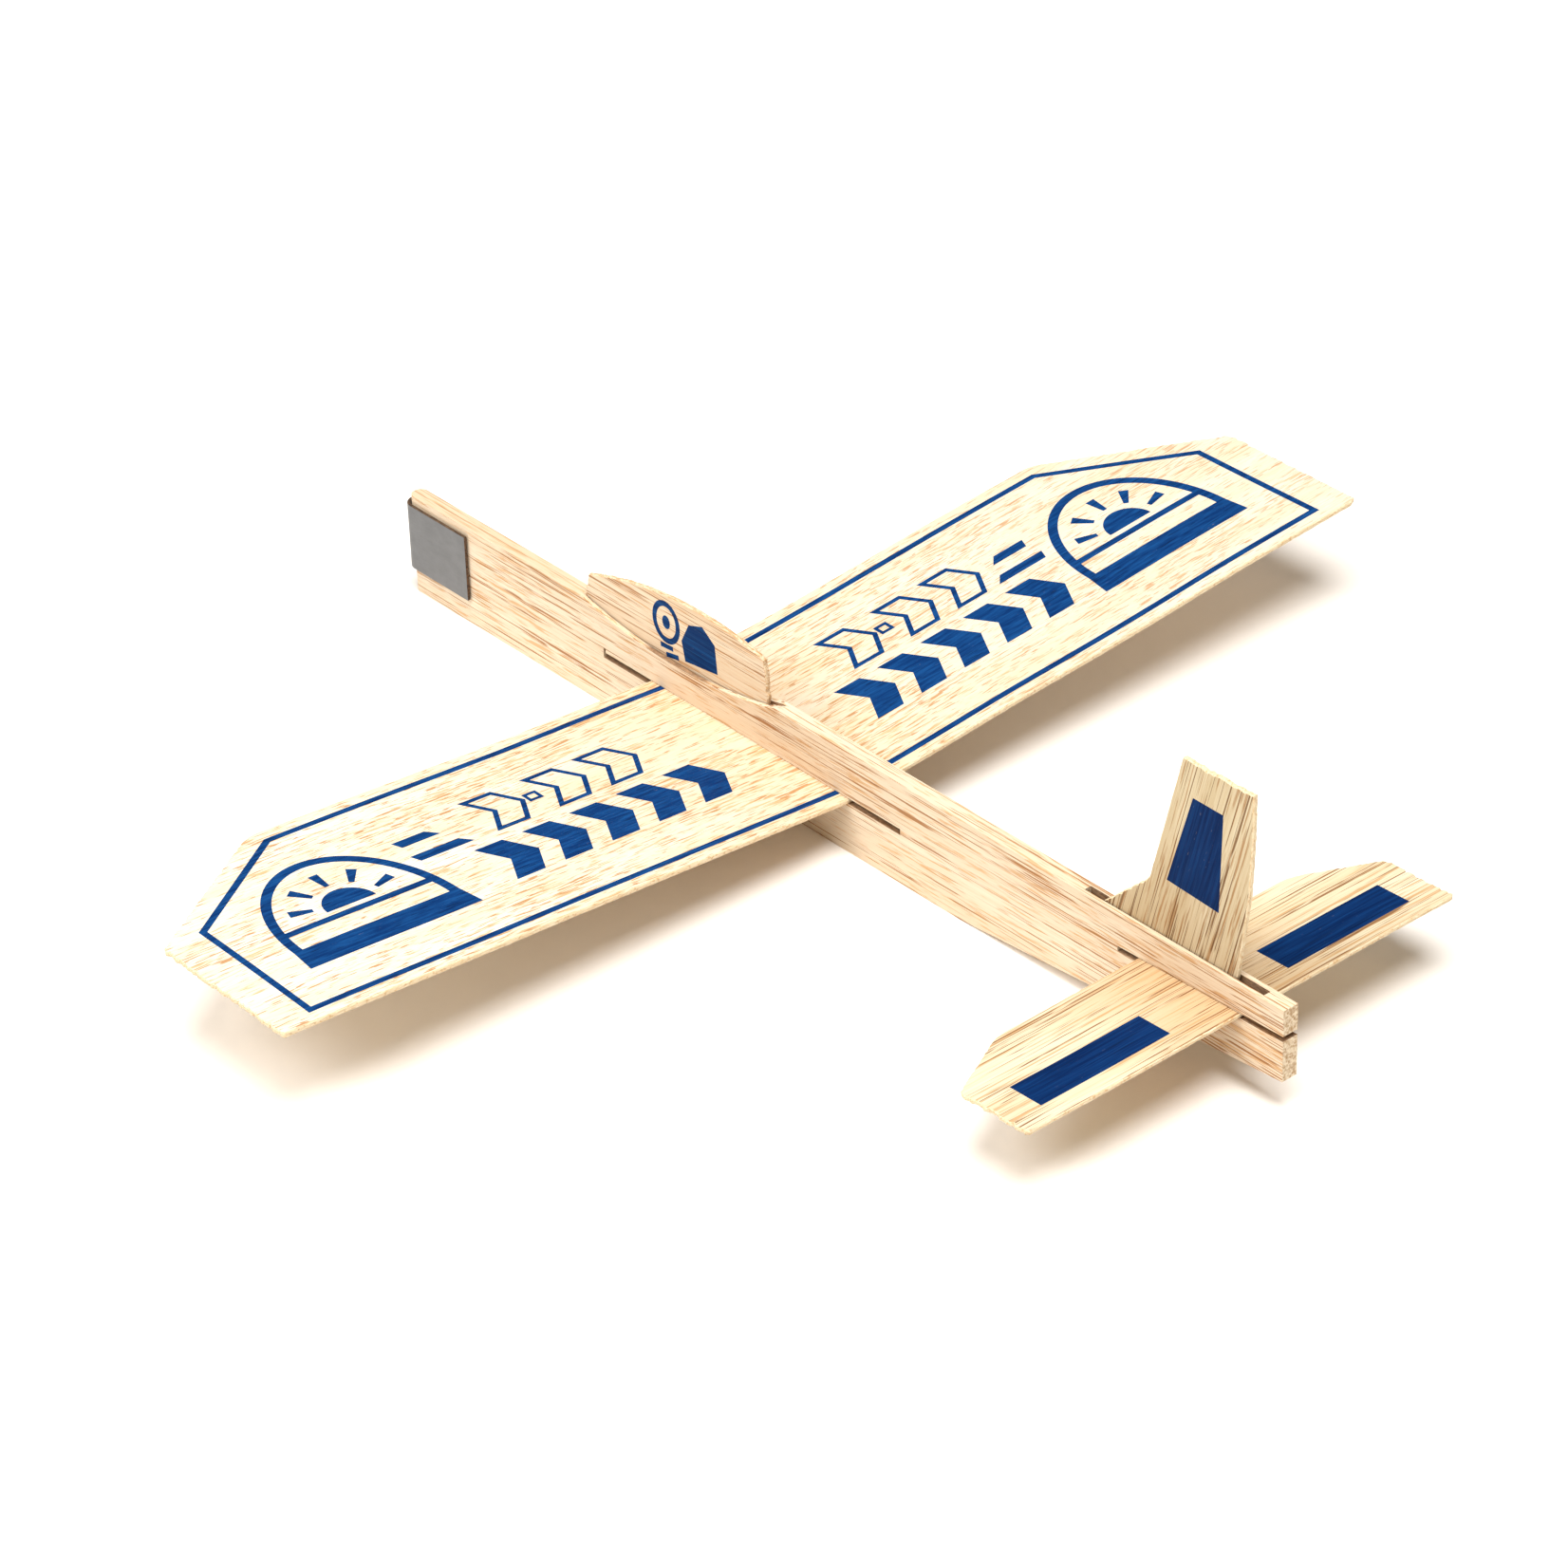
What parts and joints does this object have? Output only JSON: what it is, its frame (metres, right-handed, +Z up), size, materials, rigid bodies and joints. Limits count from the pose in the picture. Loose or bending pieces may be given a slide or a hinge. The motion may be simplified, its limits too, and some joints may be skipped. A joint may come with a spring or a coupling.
{
  "type": "hand glider",
  "caption": "Balsa hand-launched toy glider: a slotted stick with push-in wing, stabilizer, fin and canopy, and a folded steel clip as nose weight.",
  "frame": {"origin": "middle of the bounding box's bottom face, on the surface that the glider stands on", "axes": "+X forward to the nose, +Y to the left wing, +Z up; XZ is the plane of symmetry"},
  "size_m": [0.2786, 0.299, 0.0695],
  "materials": {
    "balsa_stick": "bare balsa, grain along the stick",
    "balsa_wing": "bare balsa sheet, grain along the span, with dark blue stamped ink",
    "balsa_stabilizer": "bare balsa sheet, grain along the span, with dark blue stamped ink",
    "balsa_fin": "bare balsa sheet, grain along the front edge, with dark blue stamped ink",
    "balsa_canopy": "bare balsa sheet, grain along its length, with dark blue stamped ink",
    "clip_steel": "dull grey, with dark sheared edges"
  },
  "bodies": {
    "fuselage": {"fuselage": "balsa_stick"},
    "wing": {"wing": "balsa_wing"},
    "stabilizer": {"stabilizer": "balsa_stabilizer"},
    "fin": {"fin": "balsa_fin"},
    "canopy": {"canopy": "balsa_canopy"},
    "nose_clip": {"nose_clip": "clip_steel"}
  },
  "joints": [
    {"name": "wing_slide", "type": "slide", "parent": "fuselage", "child": "wing", "axis": [1, 0, 0], "range_m": [-0.0155, 0.015]},
    {"name": "stabilizer_slide", "type": "slide", "parent": "fuselage", "child": "stabilizer", "axis": [0.9993, 0, -0.0384], "range_m": [-0.045, 0.0055]},
    {"name": "fin_lift", "type": "slide", "parent": "fuselage", "child": "fin", "axis": [0, 0, 1], "range_m": [0, 0.02]},
    {"name": "canopy_lift", "type": "slide", "parent": "fuselage", "child": "canopy", "axis": [0, 0, 1], "range_m": [0, 0.02]},
    {"name": "nose_clip_slide", "type": "slide", "parent": "fuselage", "child": "nose_clip", "axis": [1, 0, 0], "range_m": [0, 0.03]}
  ]
}
